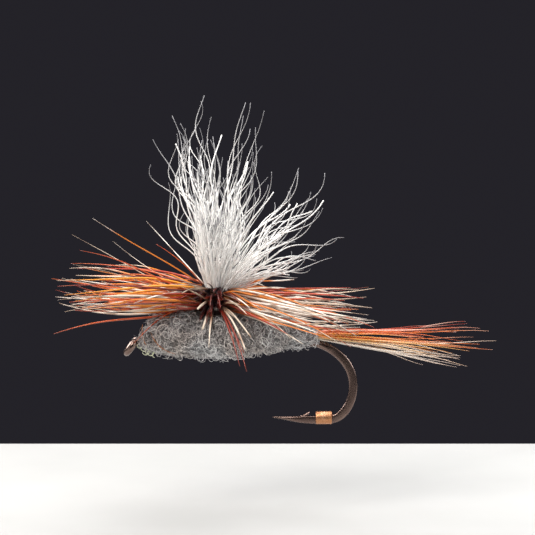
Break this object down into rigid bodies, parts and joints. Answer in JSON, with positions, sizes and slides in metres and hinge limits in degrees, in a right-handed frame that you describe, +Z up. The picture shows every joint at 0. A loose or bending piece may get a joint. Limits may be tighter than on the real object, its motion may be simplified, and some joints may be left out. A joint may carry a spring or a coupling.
{
  "type": "dry fly",
  "caption": "Parachute dry fly: barbed bronze hook, grey dubbed body, upright white hair wing, flat rust and barred hackle wound round the wing post, and a feather-barb tail.",
  "frame": {"origin": "centre of the hook eye", "axes": "+X from the eye towards the tail, +Z up along the wing post, hook lying in the XZ plane"},
  "size_m": [0.0291, 0.0211, 0.0213],
  "materials": {
    "bronze_wire": "bronzed, satin",
    "copper": "bright copper",
    "dark_thread": "waxed thread, wound tight",
    "grey_dubbing": "rough fur dubbing",
    "white_hair": "crinkled hair",
    "brown_feather": "glossy feather barbs",
    "grizzly_feather": "barred feather barbs"
  },
  "bodies": {
    "root": {"brown_hackle": "brown_feather", "copper_band": "copper", "dubbed_abdomen": "grey_dubbing", "dubbed_thorax": "grey_dubbing", "grizzly_hackle": "grizzly_feather", "hackle_tie_off_wraps": "dark_thread", "hook": "bronze_wire", "post_wraps": "dark_thread", "tail_barb_brown_1": "brown_feather", "tail_barb_brown_2": "brown_feather", "tail_barb_brown_3": "brown_feather", "tail_barb_brown_4": "brown_feather", "tail_barb_brown_5": "brown_feather", "tail_barb_brown_6": "brown_feather", "tail_barb_brown_7": "brown_feather", "tail_barb_grizzly_1": "grizzly_feather", "tail_barb_grizzly_2": "grizzly_feather", "tail_barb_grizzly_3": "grizzly_feather", "tail_barb_grizzly_4": "grizzly_feather", "tail_barb_grizzly_5": "grizzly_feather", "tail_barb_grizzly_6": "grizzly_feather", "tail_barb_grizzly_7": "grizzly_feather", "tail_tie_in_wraps": "dark_thread", "thread_base": "dark_thread", "whip_finish_head": "dark_thread", "wing_butt_wraps": "dark_thread", "wing_butts": "white_hair", "wing_lock_inner_1": "white_hair", "wing_lock_inner_2": "white_hair", "wing_lock_inner_3": "white_hair", "wing_lock_inner_4": "white_hair", "wing_lock_outer_1": "white_hair", "wing_lock_outer_2": "white_hair", "wing_lock_outer_3": "white_hair", "wing_lock_outer_4": "white_hair", "wing_lock_outer_5": "white_hair", "wing_lock_outer_6": "white_hair", "wing_lock_outer_7": "white_hair", "wing_lock_outer_8": "white_hair", "wing_lock_rear": "white_hair", "wing_post": "white_hair"}
  },
  "joints": []
}
